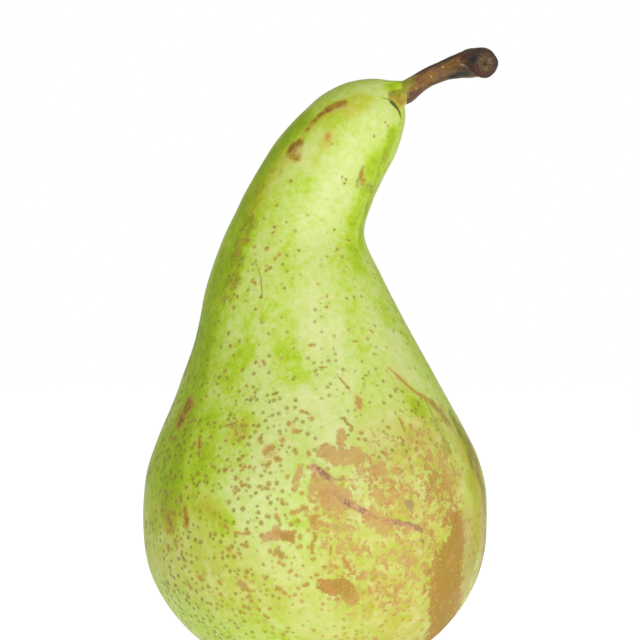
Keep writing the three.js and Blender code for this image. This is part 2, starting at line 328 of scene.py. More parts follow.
SKIN_SPOTS = (
    Spot(((358, 399), (359.5, 406)), 0.72, 1.0),
    Spot(((339, 377), (344, 383), (350, 389.5)), 0.17, 0.8),
    Spot(((344, 418), (347, 423), (352, 427)), 0.3, 0.6),
    Spot(((399, 418), (403.5, 427), (405, 431)), 0.24, 1.0),
    Spot(((400.5, 436), (403.5, 441.5)), 0.26, 0.9),
    Spot(((370, 330.5), (373, 332.5)), 0.24, 0.8),
    Spot(((353, 341), (357, 341.5)), 0.2, 0.7),
    Spot(((364, 375.5), (371, 375.5)), 0.18, 0.5),
    Spot(((319.5, 367), (326, 367.5)), 0.16, 0.5),
    Spot(((388.5, 368), (397, 375.5)), 0.2, 0.9),
    Spot(((397, 375.5), (406, 383), (417, 393)), 0.36, 0.8),
    Spot(((417, 393), (424.5, 397.5), (433, 406)), 0.42, 1.0),
    Spot(((433, 406), (440.5, 413.5), (448, 421), (453, 430)), 0.28, 2.0),
    Spot(((425.5, 399), (429.5, 408), (436, 422)), 0.22, 1.0),
    Spot(((436, 422), (441.5, 434), (445, 443), (449, 454)), 0.16, 1.0),
    Spot(((254.5, 260), (258.5, 268.5), (260.8, 278), (262, 296)), 0.13, 2.0),
    Spot(((387.5, 427), (389, 427.5)), 0.34, 0.8),
    Spot(((256, 389.5), (258, 389)), 0.24, 0.1),
    Spot(((273.5, 393.8), (277, 392.8)), 0.3, 0.4),
    Spot(((301, 411), (307, 412.5)), 0.32, 0.7),
    Spot(((188, 423.5), (194, 418.5)), 0.28, 0.2),
    Spot(((227, 425.6), (232, 424.2), (237.5, 422)), 0.24, 0.5),
    Spot(((294.5, 431), (298.5, 431.5)), 0.44, 1.0),
    Spot(((265.5, 451.5), (271.5, 447.5)), 0.62, 1.0),
    Spot(((198.7, 452), (198.3, 456)), 0.36, 0.5),
    Spot(((241.3, 470), (244.5, 466.5)), 0.32, 1.0),
    Spot(((241.5, 485.8), (245.5, 484.8)), 0.3, 0.7),
    Spot(((258.8, 486), (260.5, 486.3)), 0.3, 0.4),
    Spot(((266, 488), (269, 489)), 0.28, 0.6),
    Spot(((233.8, 494), (238, 490)), 0.26, 0.5),
    Spot(((410, 504), (411.5, 507)), 0.88, 2.0),
    Spot(((292, 512.5), (299, 510.5), (306, 507.8)), 0.4, 1.0),
    Spot(((276.5, 515), (277.5, 518)), 0.46, 1.0),
    Spot(((234.5, 532.2), (242, 533.8), (249.5, 533)), 0.26, 0.9),
    Spot(((210.6, 533), (210.7, 536.5)), 0.36, 0.4),
    Spot(((431, 531), (432, 534)), 0.5, 1.0),
    Spot(((315.4, 536.5), (315, 539)), 0.4, 0.7),
    Spot(((241, 544.8), (247.5, 546.4)), 0.32, 0.8),
    Spot(((312.5, 543), (311.5, 551)), 0.32, 0.8),
    Spot(((330.7, 546), (330.3, 554)), 0.28, 0.9),
    Spot(((276.3, 551), (278.5, 552.5)), 0.5, 0.6),
    Spot(((181.5, 555), (184.5, 559)), 0.28, 0.2),
    Spot(((169, 545.5), (168.6, 550)), 0.42, 0.5),
    Spot(((343.5, 557.5), (347, 564), (349.7, 569.5)), 0.36, 1.0),
    Spot(((476, 553), (475, 565)), 0.24, 0.7),
    Spot(((200, 576.5), (201.5, 579)), 0.5, 1.0),
    Spot(((240.8, 583), (243.5, 586)), 0.7, 1.6),
    Spot(((303.5, 585.5), (307, 584)), 0.4, 0.8),
    dot(260.8, 297, 0.3, 0.2), dot(361.5, 433, 0.42, 0.9), dot(384, 158.5, 0.36, 0.7),
    dot(363, 180, 0.4, 0.6), dot(371, 186.5, 0.34, 0.0), dot(327.5, 136.5, 0.5, 1.0),
    dot(331.5, 143.5, 0.26, 0.6), dot(374, 136, 0.26, 0.1), dot(385, 122, 0.2, 0.1),
    dot(388, 126, 0.24, 0.1), dot(342, 177, 0.22, 0.0), dot(346, 179.5, 0.22, 0.0),
    dot(344.5, 184, 0.22, 0.0), dot(291, 181, 0.3, 0.6), dot(253, 215.5, 0.34, 0.6),
    dot(264, 218, 0.34, 0.5), dot(276.5, 205, 0.32, 0.8), dot(274.5, 227, 0.36, 0.5),
    dot(272.5, 233.5, 0.28, 0.6), dot(334.3, 229.3, 0.28, 0.2), dot(349, 240.5, 0.32, 0.1),
    dot(337, 249, 0.32, 0.2), dot(267, 248.5, 0.42, 0.6), dot(298.7, 250.5, 0.28, 0.2),
    dot(279, 254.5, 0.42, 0.8), dot(274.7, 258.7, 0.28, 0.6), dot(282.4, 264.2, 0.28, 0.3),
    dot(270.5, 267.7, 0.34, 0.4), dot(266.3, 270.7, 0.32, 0.4), dot(228.5, 276, 0.38, 0.1),
    dot(252.3, 280.3, 0.34, 0.8), dot(255, 284, 0.3, 0.8), dot(318.2, 284, 0.3, 0.9),
    dot(284.5, 288, 0.28, 0.2), dot(327.3, 296, 0.34, 0.9), dot(237.5, 296.7, 0.3, 0.2),
    dot(326.6, 307, 0.32, 0.8), dot(233.3, 308, 0.4, 0.4), dot(256, 309, 0.32, 0.3),
    dot(228, 333.5, 0.4, 0.4), dot(230.2, 346.3, 0.4, 0.5), dot(310.8, 345.3, 0.36, 1.0),
    dot(281.7, 358, 0.32, 0.8), dot(255.7, 362.6, 0.36, 0.4), dot(264.3, 363.8, 0.36, 0.8),
    dot(225, 371, 0.4, 0.7), dot(219.5, 377.3, 0.38, 0.1), dot(218, 383.8, 0.34, 0.0),
    dot(246, 386, 0.36, 0.5), dot(239.5, 391.3, 0.34, 0.8), dot(295.3, 400.3, 0.34, 0.3),
    dot(311.5, 419, 0.46, 0.9), dot(289, 423.4, 0.54, 0.9), dot(234.5, 430.3, 0.36, 0.7),
    dot(211.3, 437.3, 0.38, 0.1), dot(243.3, 437.3, 0.36, 0.4), dot(282.3, 439.4, 0.56, 1.0),
    dot(259.7, 439, 0.44, 0.3), dot(225.7, 440.2, 0.36, 0.9), dot(295, 450, 0.42, 0.6),
    dot(308.8, 454.5, 0.42, 0.9), dot(276.7, 458.2, 0.54, 0.6), dot(239, 460, 0.4, 0.3),
    dot(267, 465.8, 0.46, 0.6), dot(224.7, 470, 0.5, 0.5), dot(186.7, 487, 0.42, 0.2),
    dot(282.5, 503, 0.42, 0.8), dot(175.6, 501.3, 0.38, 0.1), dot(405, 501.5, 0.3, 2.0),
    dot(313.4, 519.3, 0.86, 1.0), dot(224.7, 526.5, 0.36, 0.6), dot(227, 528.5, 0.34, 0.9),
    dot(228.5, 549.3, 0.48, 0.7), dot(239.3, 553.8, 0.42, 0.9), dot(282.6, 553.6, 0.36, 0.7),
    dot(281.3, 558, 0.42, 0.8), dot(175.7, 545.5, 0.38, 0.4), dot(312.8, 559, 0.44, 0.9),
    dot(336.4, 567, 0.46, 1.0), dot(324.3, 567.8, 0.36, 0.7), dot(246.8, 572, 0.52, 0.6),
    dot(316.8, 575, 0.42, 0.8), dot(219.8, 582.3, 0.48, 0.8), dot(169.3, 584, 0.4, 0.2),
    dot(176, 585, 0.38, 0.3), dot(190.5, 587, 0.5, 0.9), dot(277.8, 588.3, 0.56, 0.7),
    dot(249.6, 591, 0.46, 0.8), dot(284.7, 592.8, 0.5, 1.0),
)

STALK_MARKS = {
    Kind.GREEN: (
        Mark(((401, 92), (403, 86), (407, 80)), 0.6, 1.7, 0.85),
        Mark(((407, 80), (415, 76)), 0.05, 0.8, 0.5),
        Mark(((434, 82), (443, 80)), 0.1, 0.8, 0.25),
    ),
    Kind.GOLD: (
        Mark(((410, 86), (424, 79), (431, 76)), 0.7, 1.0, 1.0),
        Mark(((444, 67), (458, 61)), 0.4, 1.2, 0.8),
    ),
    # Paler bark, and small painted highlights along the ridge and on the bark.
    Kind.PALE_AND_SHEEN: (
        Mark(((457, 60), (461, 64), (467, 67)), 0.0, 0.6, 0.3),
        Mark(((442.8, 66.4),), 0.0, 0.4, 0.8),
        Mark(((430.5, 75.5), (431.3, 77)), 0.0, 0.3, 0.5),
        Mark(((415.5, 87), (416.8, 89.2)), 0.0, 0.3, 0.5),
    ),
    Kind.BLUSH: (
        Mark(((404, 103), (412, 97), (420, 91)), 0.3, 0.8, 0.5),
        Mark(((462, 58), (472, 52)), 0.2, 0.9, 0.8),
        Mark(((468, 65), (478, 68)), 0.3, 0.7, 0.9),
        Mark(((473, 72), (484, 75)), 0.3, 0.7, 1.0),
    ),
    # A darker knob, and painted shade along the knob's right rim.
    Kind.SMUDGE_AND_SHADE: (
        Mark(((470, 60), (482, 62), (492, 64)), 2.0, 1.6, 0.75),
        Mark(((410, 77), (430, 66), (446, 59), (462, 53)), 0.05, 0.8, 0.9),
        Mark(((432, 84), (452, 77)), 0.1, 0.8, 0.6),
        Mark(((482, 47), (493, 52), (497, 62), (495, 72), (486, 78)), 0.25, 0.8, 0.9),
    ),
    Kind.SOOT: (
        Mark(((470, 60), (474, 58), (478, 57)), 0.25, 1.1, 0.9),
        Mark(((453, 77.5), (459, 76), (467, 74)), 0.3, 1.1, 0.9),
        Mark(((458, 69), (465, 69.5)), 0.0, 0.8, 0.6),
    ),
    Kind.RIDGE: (
        Mark(((458, 60), (462, 65), (467, 68)), 0.1, 0.6, 1.0),
        Mark(((478, 52), (480, 58), (481, 66), (486, 74)), 0.1, 0.7, 0.6),
    ),
}


def linear(red: float, green: float, blue: float) -> Colour:
    """A screen colour, 0 to 255 a channel, as the linear colour that Blender's sockets hold."""
    shares = (red / 255, green / 255, blue / 255)
    return tuple(c / 12.92 if c <= 0.04045 else ((c + 0.055) / 1.055) ** 2.4 for c in shares)


def smooth_curve(points: np.ndarray, steps: int) -> np.ndarray:
    """A centripetal Catmull-Rom curve.

    Args:
        points: what it goes through, one row each.
        steps: how many steps it takes between two of them.

    Returns:
        The points on the curve, one row each.
    """
    ends = [2 * points[0] - points[1]], [2 * points[-1] - points[-2]]
    held = np.vstack([ends[0], points, ends[1]])
    made = []
    for p0, p1, p2, p3 in zip(held[:-3], held[1:-2], held[2:-1], held[3:]):
        gaps = [math.sqrt(max(np.linalg.norm(b - a), 1e-6)) for a, b in ((p0, p1), (p1, p2), (p2, p3))]
        t0, t1, t2, t3 = np.cumsum([0.0, *gaps])
        t = np.linspace(t1, t2, steps, endpoint=False)[:, None]
        a1 = ((t1 - t) * p0 + (t - t0) * p1) / (t1 - t0)
        a2 = ((t2 - t) * p1 + (t - t1) * p2) / (t2 - t1)
        a3 = ((t3 - t) * p2 + (t - t2) * p3) / (t3 - t2)
        b1 = ((t2 - t) * a1 + (t - t0) * a2) / (t2 - t0)
        b2 = ((t3 - t) * a2 + (t - t1) * a3) / (t3 - t1)
        made.append(((t2 - t) * b1 + (t - t1) * b2) / (t2 - t1))
    return np.vstack([*made, points[-1:]])


def smooth(share: np.ndarray) -> np.ndarray:
    """An S-shaped step from 0 to 1, held at both ends."""
    held = np.clip(share, 0.0, 1.0)
    return held * held * (3 - 2 * held)


def fade(values: np.ndarray, ends: Pair) -> np.ndarray:
    """An S-shaped step from 0 at the first end to 1 at the second, held beyond both."""
    return smooth((values - ends[0]) / (ends[1] - ends[0]))


def waves(points: np.ndarray, seed: int, wavelength: float, count: int = 14) -> np.ndarray:
    """A smooth random field, about -1 to 1, made of plane waves.

    Args:
        points: where to read it, one row each.
        seed: which field it is.
        wavelength: the mean length of its waves.
        count: how many waves are added.

    Returns:
        One value for each point.
    """
    draw = np.random.default_rng(seed)
    total = np.zeros(points.shape[:-1])
    for _ in range(count):
        direction = draw.normal(size=3)
        direction *= 2 * math.pi / (np.linalg.norm(direction) * wavelength * draw.uniform(0.7, 1.4))
        total += np.cos(points @ direction + draw.uniform(0, 2 * math.pi))
    return total / math.sqrt(count)


def place_in_scene(name: str, data: bpy.types.ID) -> bpy.types.Object:
    """Makes an object of a mesh, a light or a camera, and puts it in the scene."""
    made = bpy.data.objects.new(name, data)
    bpy.context.scene.collection.objects.link(made)
    return made


@dataclass
class Skin:
    """A closed surface of rings of points between two poles, with the fields that its finish reads."""

    rings: np.ndarray
    poles: tuple[np.ndarray, np.ndarray]
    across: np.ndarray
    along: np.ndarray
    fields: dict[str, np.ndarray] = field(default_factory=dict)

    def normals(self) -> np.ndarray:
        """The way out of the surface at each point of the rings.

        Returns:
            One unit vector for each.
        """
        up = np.gradient(self.rings, axis=0)
        round_ring = np.roll(self.rings, -1, axis=1) - np.roll(self.rings, 1, axis=1)
        normal = np.cross(up, round_ring)
        return normal / np.maximum(np.linalg.norm(normal, axis=2, keepdims=True), 1e-9)

    def push(self, distance: np.ndarray) -> None:
        """Moves each point of the rings out along its normal."""
        self.rings = self.rings + self.normals() * distance[..., None]

    def lift(self, trail: tuple[Pixel, ...]) -> np.ndarray:
        """Lays a line of pixels on the side of the surface that faces the camera.

        Args:
            trail: the pixels.

        Returns:
            One point of the surface for each.
        """
        front = self.rings[self.normals()[..., 1] < 0]
        reach = (PHOTO.distance + front[:, 1]) / PHOTO.distance
        lifted = []
        for pixel in trail:
            x, z = PHOTO.place(pixel)
            miss = (front[:, 0] / reach - x) ** 2 + ((front[:, 2] - PHOTO.aim) / reach + PHOTO.aim - z) ** 2
            depth = front[np.argmin(miss), 1]
            x, z = PHOTO.place(pixel, depth)
            lifted.append((x, depth, z))
        return np.array(lifted)

    def way_to(self, trail: tuple[Pixel, ...]) -> np.ndarray:
        """The way from each point of the rings to a line of pixels.

        Args:
            trail: the pixels.

        Returns:
            One vector for each, to the nearest place on the line.
        """
        line = self.lift(trail)
        best = line[0] - self.rings
        least = np.linalg.norm(best, axis=2)
        for start, end in zip(line[:-1], line[1:]):
            run = end - start
            share = np.clip((self.rings - start) @ run / max(run @ run, 1e-9), 0, 1)
            way = start + share[..., None] * run - self.rings
            far = np.linalg.norm(way, axis=2)
            nearer = far < least
            best[nearer], least[nearer] = way[nearer], far[nearer]
        return best

    def strengthen(self, label: str, values: np.ndarray) -> None:
        """Raises a field, new or known, to these values where they are greater."""
        self.fields[label] = np.maximum(self.fields.get(label, 0.0), values)

    def draw(self, groups: dict[Kind, tuple[Mark, ...]]) -> None:
        """Fills one field for each kind of mark, with the strongest mark at each point.

        Args:
            groups: the marks of each kind.
        """
        for kind, marks in groups.items():
            for mark in marks:
                far = np.linalg.norm(self.way_to(mark.trail), axis=2)
                share = (mark.half_width + mark.fringe - far) / mark.fringe
                self.strengthen(kind.value, mark.strength * smooth(share))

    def sprinkle(self, spots: tuple[Spot, ...]) -> None:
        """Fills the fields of the crisp spots from the nearest one at each point.

        They are the way to it and how far it is, both in units of its half width, and its tone.

        Args:
            spots: all of them.
        """
        far = np.full(self.rings.shape[:2], BEYOND)
        way = np.full(self.rings.shape, BEYOND)
        tone = np.zeros(far.shape)
        for spot in spots:
            own = self.way_to(spot.trail) / spot.half_width
            own_far = np.linalg.norm(own, axis=2)
            nearer = own_far < far
            far[nearer], way[nearer], tone[nearer] = own_far[nearer], own[nearer], spot.tone
        self.fields.update(spot_far=far, spot_way=way, spot_tone=tone)

    def build(self, name: str) -> bpy.types.Object:
        """Makes the mesh.

        Args:
            name: the piece's name.

        Returns:
            The new object, with a UV map of the rings' own grid and one attribute for each field.
        """
        rows, columns = self.rings.shape[:2]
        points = np.vstack([self.rings.reshape(-1, 3), *[p[None] for p in self.poles]])
        low, high = rows * columns, rows * columns + 1
        faces, corners = [], []
        u = np.append(self.across, 1.0)
        v = self.along
        for j in range(columns):
            k = (j + 1) % columns
            middle = (u[j] + u[j + 1]) / 2
            faces.append((low, j, k))
            corners += [(middle, 0.0), (u[j], v[0]), (u[j + 1], v[0])]
            for i in range(rows - 1):
                a, b = i * columns, (i + 1) * columns
                faces.append((a + j, b + j, b + k, a + k))
                corners += [(u[j], v[i]), (u[j], v[i + 1]), (u[j + 1], v[i + 1]), (u[j + 1], v[i])]
            top = (rows - 1) * columns
            faces.append((high, top + k, top + j))
            corners += [(middle, 1.0), (u[j + 1], v[-1]), (u[j], v[-1])]
        mesh = bpy.data.meshes.new(name)
        mesh.from_pydata((points * MM).tolist(), [], faces)
        mesh.uv_layers.new(name="OFBake").data.foreach_set("uv", np.array(corners, np.float32).ravel())
        mesh.polygons.foreach_set("use_smooth", [True] * len(faces))
        for label, values in self.fields.items():
            vector = values.ndim == 3
            flat = values.reshape(rows * columns, -1)
            whole = np.vstack([flat, flat[:1], flat[-1:]]).astype(np.float32)
            made = mesh.attributes.new(label, "FLOAT_VECTOR" if vector else "FLOAT", "POINT")
            made.data.foreach_set("vector" if vector else "value", whole.ravel())
        mesh.update()
        return place_in_scene(name, mesh)


class Sock:
    """A number socket of a material that Python's operators work on, each adding a Math node."""

    def __init__(self, graph: "Graph", socket: bpy.types.NodeSocket) -> None:
        """Keeps the graph and its socket."""
        self.graph = graph
        self.socket = socket

    def _maths(self, operation: str, first: "Value", second: "Value") -> "Sock":
        """One Math node on two values."""
        return self.graph.node("ShaderNodeMath", {"operation": operation}, {0: first, 1: second})

    def __add__(self, other: "Value") -> "Sock":
        """Sum."""
        return self._maths("ADD", self, other)

    def __radd__(self, other: "Value") -> "Sock":
        """Sum, reflected."""
        return self._maths("ADD", other, self)

    def __sub__(self, other: "Value") -> "Sock":
        """Difference."""
        return self._maths("SUBTRACT", self, other)

    def __rsub__(self, other: "Value") -> "Sock":
        """Difference, reflected."""
        return self._maths("SUBTRACT", other, self)

    def __mul__(self, other: "Value") -> "Sock":
        """Product."""
        return self._maths("MULTIPLY", self, other)

    def __rmul__(self, other: "Value") -> "Sock":
        """Product, reflected."""
        return self._maths("MULTIPLY", other, self)

    def __or__(self, other: "Value") -> "Sock":
        """The greater of the two."""
        return self._maths("MAXIMUM", self, other)

    def __ror__(self, other: "Value") -> "Sock":
        """The greater of the two, reflected."""
        return self._maths("MAXIMUM", other, self)


Value = Union[Sock, float]


class Graph:
    """The node tree of a material or of the world."""

    def __init__(self, owner: Union[bpy.types.Material, bpy.types.World]) -> None:
        """Empties the owner's tree."""
        self.owner = owner
        owner.use_nodes = True
        self.tree = owner.node_tree
        self.tree.nodes.clear()

    @classmethod
    def of_material(cls, name: str) -> "Graph":
        """The tree of a new material."""
        return cls(bpy.data.materials.new(name))

    def node(self, kind: str, settings: dict, inputs: dict, output: Union[int, str] = 0) -> Sock:
        """Adds a node.

        Args:
            kind: the node's type.
            settings: its own properties, set first; "stops" holds a ramp's (position, colour) pairs.
            inputs: values or sockets by the input's name or number.
            output: the name or number of the socket wanted.

        Returns:
            That output.
        """
        made = self.tree.nodes.new(kind)
        for label, value in settings.items():
            if label == "stops":
                self._set_stops(made.color_ramp, value)
            else:
                setattr(made, label, value)
        for label, value in inputs.items():
            target = made.inputs[label]
            if isinstance(value, Sock):
                self.tree.links.new(value.socket, target)
            elif isinstance(value, tuple) and len(value) == 3 and target.type == "RGBA":
                target.default_value = (*value, 1.0)
            else:
                target.default_value = value
        return Sock(self, made.outputs[output])

    @staticmethod
    def _set_stops(ramp: bpy.types.ColorRamp, stops: list[tuple[float, Colour]]) -> None:
        """Gives a ramp its stops.

        Args:
            ramp: the ramp.
            stops: a position and a colour for each.
        """
        while len(ramp.elements) < len(stops):
            ramp.elements.new(1.0)
        for element, (position, colour) in zip(ramp.elements, stops):
            element.position = position
            element.color = (*colour, 1.0)

    def field(self, label: str, output: str = "Fac") -> Sock:
        """A field of the mesh."""
        return self.node("ShaderNodeAttribute", {"attribute_name": label}, {}, output)

    def place(self) -> Sock:
        """The place on the piece, in millimetres."""
        spot = self.node("ShaderNodeTexCoord", {}, {}, "Object")
        return self.node("ShaderNodeVectorMath", {"operation": "SCALE"}, {0: spot, "Scale": 1 / MM})

    def stretched(self, vector: Sock, factors: Point) -> Sock:
        """A vector with each part multiplied by its own factor."""
        return self.node("ShaderNodeVectorMath", {"operation": "MULTIPLY"}, {0: vector, 1: factors})

    def noise(self, vector: Sock, size: float, detail: float, rough: float, warp: float = 0.0) -> Sock:
        """Fractal noise.

        Args:
            vector: where it is read.
            size: about how big its lumps are.
            detail: how many finer layers it has.
            rough: how strong the finer layers are.
            warp: how far it is pulled about.

        Returns:
            Its value, about -1 to 1 round 0.
        """
        inputs = {
            "Vector": vector,
            "Scale": 1 / size,
            "Detail": detail,
            "Roughness": rough,
            "Distortion": warp,
        }
        return 4 * self.node("ShaderNodeTexNoise", {}, inputs) - 2

    def ragged(self, label: str, noise: Sock) -> Sock:
        """A field of the mesh whose edges are broken up by noise, which counts only where the field does."""
        full = self.field(label)
        return full + self.step(full, 0.0, 0.3) * noise

    def step(self, value: Sock, low: float, high: float) -> Sock:
        """An S-shaped step from 0 at low to 1 at high."""
        inputs = {"Value": value, "From Min": low, "From Max": high}
        return self.node("ShaderNodeMapRange", {"interpolation_type": "SMOOTHSTEP"}, inputs)

    def ramp(self, value: Sock, stops: list[tuple[float, Colour]]) -> Sock:
        """A colour read from a ramp."""
        return self.node("ShaderNodeValToRGB", {"stops": stops}, {"Fac": value}, "Color")

    def mix(self, share: Value, first: Union[Sock, Colour], second: Union[Sock, Colour]) -> Sock:
        """Two colours mixed: the first at 0 and the second at 1."""
        settings = {"data_type": "RGBA", "clamp_factor": True}
        return self.node("ShaderNodeMix", settings, {0: share, 6: first, 7: second}, 2)

    def bump(self, height: Sock, depth: float) -> Sock:
        """A normal bent by a height, which is multiplied by a depth in millimetres."""
        return self.node("ShaderNodeBump", {}, {"Height": height, "Distance": depth * MM, "Strength": 1.0})

    def finish(self, colour: Sock, roughness: Value, normal: Sock, constants: dict) -> bpy.types.Material:
        """Ends the tree in a Principled shader.

        Args:
            colour: the base colour.
            roughness: the roughness.
            normal: the bent normal.
            constants: what is the same all over, by socket name.

        Returns:
            The finished material.
        """
        inputs = {"Base Color": colour, "Roughness": roughness, "Normal": normal, **constants}
        self.surface(self.node("ShaderNodeBsdfPrincipled", {}, inputs), "ShaderNodeOutputMaterial")
        return self.owner

    def surface(self, shader: Sock, kind: str) -> None:
        """Joins a shader to an output node of that type."""
        end = self.tree.nodes.new(kind)
        self.tree.links.new(shader.socket, end.inputs["Surface"])


@dataclass(frozen=True)
class SkinGrain:
    """The noises that break up everything on the skin, from the finest to the broadest."""

    place: Sock
    fine: Sock
    fleck: Sock
    mottle: Sock
    broken: Sock
    blotch: Sock
    broad: Sock

    @classmethod
    def of_tree(cls, g: Graph) -> "SkinGrain":
        """The noises of a material's tree."""
        place = g.place()
        return cls(
            place=place,
            fine=g.noise(place, 0.5, 3.0, 0.6),
            fleck=g.noise(place, 0.85, 3.0, 0.6, 0.4),
            mottle=g.noise(place, 1.4, 5.0, 0.72, 0.3),
            broken=g.noise(place, 2.2, 6.0, 0.74, 0.5),
            blotch=g.noise(place, 2.6, 2.0, 0.5),
            broad=g.noise(g.stretched(place, (1.0, 1.0, 0.45)), 6.0, 3.0, 0.55),
        )


@dataclass(frozen=True)
class PearSkin:
    """The waxy skin: green with a washed-out sheen that is partly painted, pores, crisp brown spots, broken
    russet, and painted shade at its rims and crease.
    """

    deep: Colour = linear(134, 160, 8)
    leaf: Colour = linear(156, 181, 34)
    grass: Colour = linear(166, 187, 66)
    lime: Colour = linear(175, 192, 97)
    # Cream is also the colour of the painted sheen where the pale field is strong.
    cream_and_sheen: Colour = linear(192, 198, 134)
    gold: Colour = linear(180, 164, 72)
    straw: Colour = linear(194, 184, 114)
    amber: Colour = linear(170, 162, 26)
    # Olive is also the colour of the painted shade along the rims and towards the bottom.
    olive: Colour = linear(118, 110, 30)
    bruise_dark: Colour = linear(114, 78, 16)
    bruise_light: Colour = linear(168, 142, 50)
    russet_light: Colour = linear(178, 144, 84)
    russet_dark: Colour = linear(152, 112, 42)
    rust: Colour = linear(170, 116, 54)
    scar_light: Colour = linear(190, 146, 108)
    scar_dark: Colour = linear(126, 90, 62)
    spot_olive: Colour = linear(118, 112, 34)
    spot_tan: Colour = linear(166, 128, 58)
    spot_grey: Colour = linear(150, 126, 84)
    pink: Colour = linear(176, 136, 96)
    # The painted shade in the fold beside the stalk.
    crease: Colour = linear(88, 80, 26)
    tones: tuple[float, ...] = (0.05, 0.3, 0.46, 0.6, 0.95)
    pore_cell: float = 1.24
    relief: float = 0.10

    def build(self) -> bpy.types.Material:
        """Builds the finish.

        Returns:
            The finished material.
        """
        g = Graph.of_material("pear_skin")
        grain = SkinGrain.of_tree(g)
        colour = self._ground(g, grain)
        pores, colour = self._pores(g, grain, colour)
        colour = self._bruises(g, grain, colour)
        russet, colour = self._russet(g, grain, colour)
        spots, colour = self._spots(g, grain, colour)
        scars, colour = self._scars(g, grain, colour)
        height = 0.07 * grain.fine + 0.1 * grain.mottle + russet * (0.3 + 0.15 * grain.fine)
        height = height - 0.5 * pores - 0.4 * spots + scars * (0.6 + 0.4 * grain.fine)
        roughness = 0.47 + 0.2 * russet + 0.1 * spots
        constants = {"Subsurface Weight": 0.08, "Subsurface Scale": 0.002, "Specular IOR Level": 0.18}
        return g.finish(colour, roughness, g.bump(height, self.relief), constants)

    def _ground(self, g: Graph, grain: SkinGrain) -> Sock:
        """The skin under its marks.

        Args:
            g: the material's tree.
            grain: the tree's noises.

        Returns:
            Its green from deep to washed out, with the golden stains and the olive smudges.
        """
        # Pale is lighter skin, and partly a painted sheen down the neck and over the belly.
        pale = g.field("pale")
        green = g.field("green")
        tone = 0.52 + 0.36 * pale - 0.44 * green
        tone = tone + 0.13 * grain.broad + 0.08 * grain.blotch + 0.27 * grain.mottle + 0.1 * grain.fine
        greens = (self.deep, self.leaf, self.grass, self.lime, self.cream_and_sheen)
        ground = g.ramp(tone, list(zip(self.tones, greens)))
        colour = g.mix(0.55 * g.field("blush"), ground, self.pink)
        yellow = g.mix(g.step(grain.blotch, -0.4, 0.8), self.gold, self.straw)
        share = g.field("gold") * g.step(grain.mottle, -1.5, 0.7) * (1 - 0.7 * pale)
        colour = g.mix(share, colour, g.mix(green, yellow, self.amber))
        # Olive smudges, and painted shade along the rims and towards the bottom.
        smudge = g.step(g.ragged("smudge", 0.7 * grain.broken), 0.3, 1.1)
        return g.mix(0.85 * smudge, colour, self.olive)

    def _pores(self, g: Graph, grain: SkinGrain, colour: Sock) -> tuple[Sock, Sock]:
        """The small pores, from olive to tan, where balls at random places cut the skin.

        Args:
            g: the material's tree.
            grain: the tree's noises.
            colour: what they lie on.

        Returns:
            Their mask and the new colour.
        """
        inputs = {"Vector": grain.place, "Scale": 1 / self.pore_cell}
        far = g.node("ShaderNodeTexVoronoi", {}, inputs, "Distance")
        chance = g.node("ShaderNodeTexVoronoi", {}, inputs, "Color")
        draws = g.node("ShaderNodeSeparateColor", {}, {"Color": chance}, "Red")
        sizes = g.node("ShaderNodeSeparateColor", {}, {"Color": chance}, "Green")
        many = g.field("pores")
        reach = 0.1 + 0.22 * sizes + 0.1 * grain.fine + 0.14 * many
        pores = g.step(reach - far, -0.12, 0.18) * g.step(many - draws, -0.04, 0.04)
        tint = g.mix(g.field("ripe") + 0.6 * (sizes - 0.5), self.spot_olive, self.spot_tan)
        return pores, g.mix((0.5 + 0.32 * many) * pores, colour, tint)

    def _bruises(self, g: Graph, grain: SkinGrain, colour: Sock) -> Sock:
        """The brown patches, lighter or pinker at their edges.

        Args:
            g: the material's tree.
            grain: the tree's noises.
            colour: what they lie on.

        Returns:
            The new colour.
        """
        blush = g.field("blush")
        bruise = g.ragged("bruise", 0.5 * grain.broken + 0.25 * grain.mottle)
        halo = g.mix(blush, self.bruise_light, self.pink)
        colour = g.mix(0.85 * g.step(bruise, 0.05, 0.8), colour, halo)
        return g.mix(0.9 * g.step(bruise - 0.5 * blush, 0.45, 1.15), colour, self.bruise_dark)

    def _russet(self, g: Graph, grain: SkinGrain, colour: Sock) -> tuple[Sock, Sock]:
        """The cork, in crisp and broken patches of several browns.

        Args:
            g: the material's tree.
            grain: the tree's noises.
            colour: what they lie on.

        Returns:
            Their mask and the new colour.
        """
        edges = 0.72 * grain.broken + 0.3 * grain.mottle + 0.4 * grain.fleck
        russet = g.step(g.ragged("russet", edges), 0.28, 0.72)
        soot = g.step(0.3 + 0.2 * grain.blotch + g.field("soot"), 0.2, 1.1)
        cork = g.mix(soot, self.russet_light, self.russet_dark)
        cork = g.mix(0.7 * g.field("blush") + 0.3 * g.step(grain.broad, 0.0, 0.8), cork, self.pink)
        cork = g.mix(0.6 * g.step(grain.mottle, -0.1, 0.8), cork, self.russet_dark)
        cork = g.mix(0.7 * g.step(grain.blotch + 0.4 * grain.mottle, 0.1, 0.9), cork, self.rust)
        cork = g.mix(0.4 * g.step(grain.fine + 0.6 * grain.fleck, 0.1, 1.2), cork, self.straw)
        return russet, g.mix(russet * (0.9 + 0.1 * grain.fine), colour, cork)

    def _spots(self, g: Graph, grain: SkinGrain, colour: Sock) -> tuple[Sock, Sock]:
        """The crisp spots and scratches, from the mesh's fields, each with a faint yellow ring.

        Args:
            g: the material's tree.
            grain: the tree's noises.
            colour: what they lie on.

        Returns:
            Their mask and the new colour.
        """
        way = {0: g.field("spot_way", "Vector")}
        length = g.node("ShaderNodeVectorMath", {"operation": "LENGTH"}, way, "Value")
        far = (length | 0.7 * g.field("spot_far")) + 0.55 * grain.fine
        tone = g.field("spot_tone")
        warm = g.mix(tone + 0.25 * grain.fine, self.spot_olive, self.spot_tan)
        tint = g.mix(g.step(tone, 1.2, 2.0), warm, self.spot_grey)
        colour = g.mix(0.3 * (1 - g.step(far, 1.0, 2.4)), colour, self.gold)
        spots = 0.84 * (1 - g.step(far, 0.5, 1.4))
        return spots, g.mix(spots, colour, tint)

